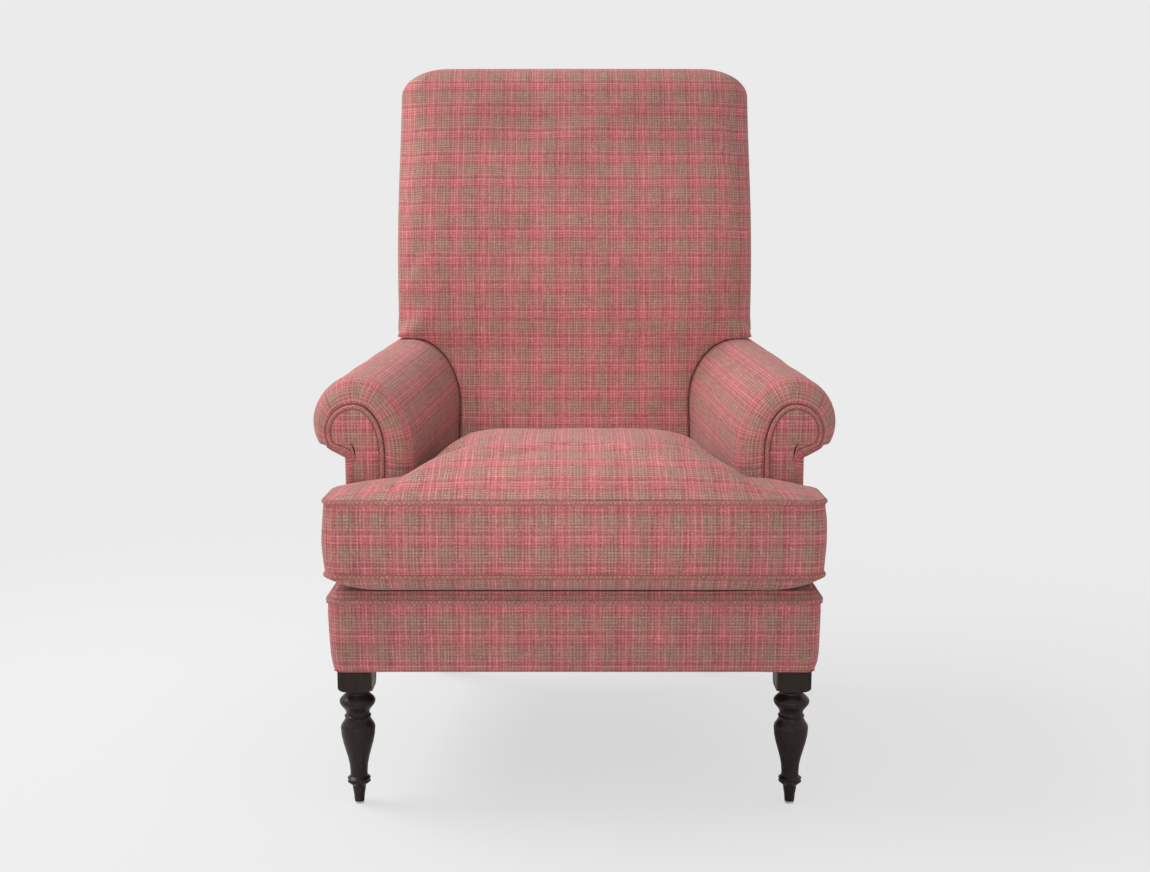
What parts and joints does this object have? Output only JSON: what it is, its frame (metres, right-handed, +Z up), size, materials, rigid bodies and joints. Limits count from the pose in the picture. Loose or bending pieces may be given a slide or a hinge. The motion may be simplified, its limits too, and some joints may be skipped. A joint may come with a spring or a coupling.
{
  "type": "fireside chair",
  "caption": "Upholstered scroll-arm fireside chair with a high leaning back, a loose T-shaped zipped seat cushion and turned front legs.",
  "frame": {"origin": "on the floor, under the middle of the chair's width and depth", "axes": "+Z up; the chair faces -Y; +X is to the right as seen from in front"},
  "size_m": [0.7614, 0.745, 1.098],
  "materials": {
    "plaid_fabric": "woven plaid, pink-red and taupe",
    "piping_fabric": "plaid fabric cut on the bias round a cord",
    "deck_cloth": "plaid fabric lip over a felt pad",
    "leg_wood": "dark brown, glossy lacquer",
    "frame_wood": "planed beech, bare",
    "steel_hardware": "zinc plated",
    "glide_nylon": "moulded nylon",
    "foam": "open-cell polyurethane foam",
    "webbing": "woven jute",
    "dust_cloth": "black non-woven cloth",
    "zip_cloth": "woven tape with a nylon coil"
  },
  "bodies": {
    "frame": {"front_seat_rail": "frame_wood", "rear_seat_rail": "frame_wood", "side_seat_rail_left": "frame_wood", "side_seat_rail_right": "frame_wood", "corner_blocks": "frame_wood", "corner_block_screws": "steel_hardware", "front_leg_left": "leg_wood", "front_leg_right": "leg_wood", "rear_leg_left": "leg_wood", "rear_leg_right": "leg_wood", "leg_bolts": "steel_hardware", "leg_insert_nuts": "steel_hardware", "leg_glides": "glide_nylon", "arm_post_left": "frame_wood", "arm_post_right": "frame_wood", "arm_top_rail_left": "frame_wood", "arm_top_rail_right": "frame_wood", "arm_tacking_rail_left": "frame_wood", "arm_tacking_rail_right": "frame_wood", "arm_lining_left": "webbing", "arm_lining_right": "webbing", "back_post_left": "frame_wood", "back_post_right": "frame_wood", "back_top_rail": "frame_wood", "back_tacking_rail": "frame_wood", "frame_dowels": "frame_wood", "seat_webbing_long": "webbing", "seat_webbing_cross": "webbing", "back_webbing_upright": "webbing", "back_webbing_cross": "webbing", "seat_deck": "deck_cloth", "front_rail_cover": "plaid_fabric", "front_rail_piping": "piping_fabric", "arm_cover_left": "plaid_fabric", "arm_cover_right": "plaid_fabric", "arm_facing_left": "plaid_fabric", "arm_facing_right": "plaid_fabric", "arm_facing_piping_left": "piping_fabric", "arm_facing_piping_right": "piping_fabric", "outside_arm_panel_left": "plaid_fabric", "outside_arm_panel_right": "plaid_fabric", "back_foam": "foam", "inside_back_cover": "plaid_fabric", "outside_back_panel": "plaid_fabric", "dust_cover": "dust_cloth", "dust_cover_staples": "steel_hardware"},
    "seat_cushion": {"cushion_cover": "plaid_fabric", "cushion_core": "foam", "cushion_piping_top": "piping_fabric", "cushion_piping_bottom": "piping_fabric", "zip_tape": "zip_cloth", "zip_chain": "zip_cloth"},
    "zip_slider": {"zip_slider": "steel_hardware"}
  },
  "joints": [
    {"name": "seat_cushion_lift", "type": "slide", "parent": "frame", "child": "seat_cushion", "axis": [0, 0, 1], "range_m": [0, 0.36]},
    {"name": "zip_slider_travel", "type": "slide", "parent": "seat_cushion", "child": "zip_slider", "axis": [1, 0, 0], "range_m": [0, 0.309]}
  ]
}
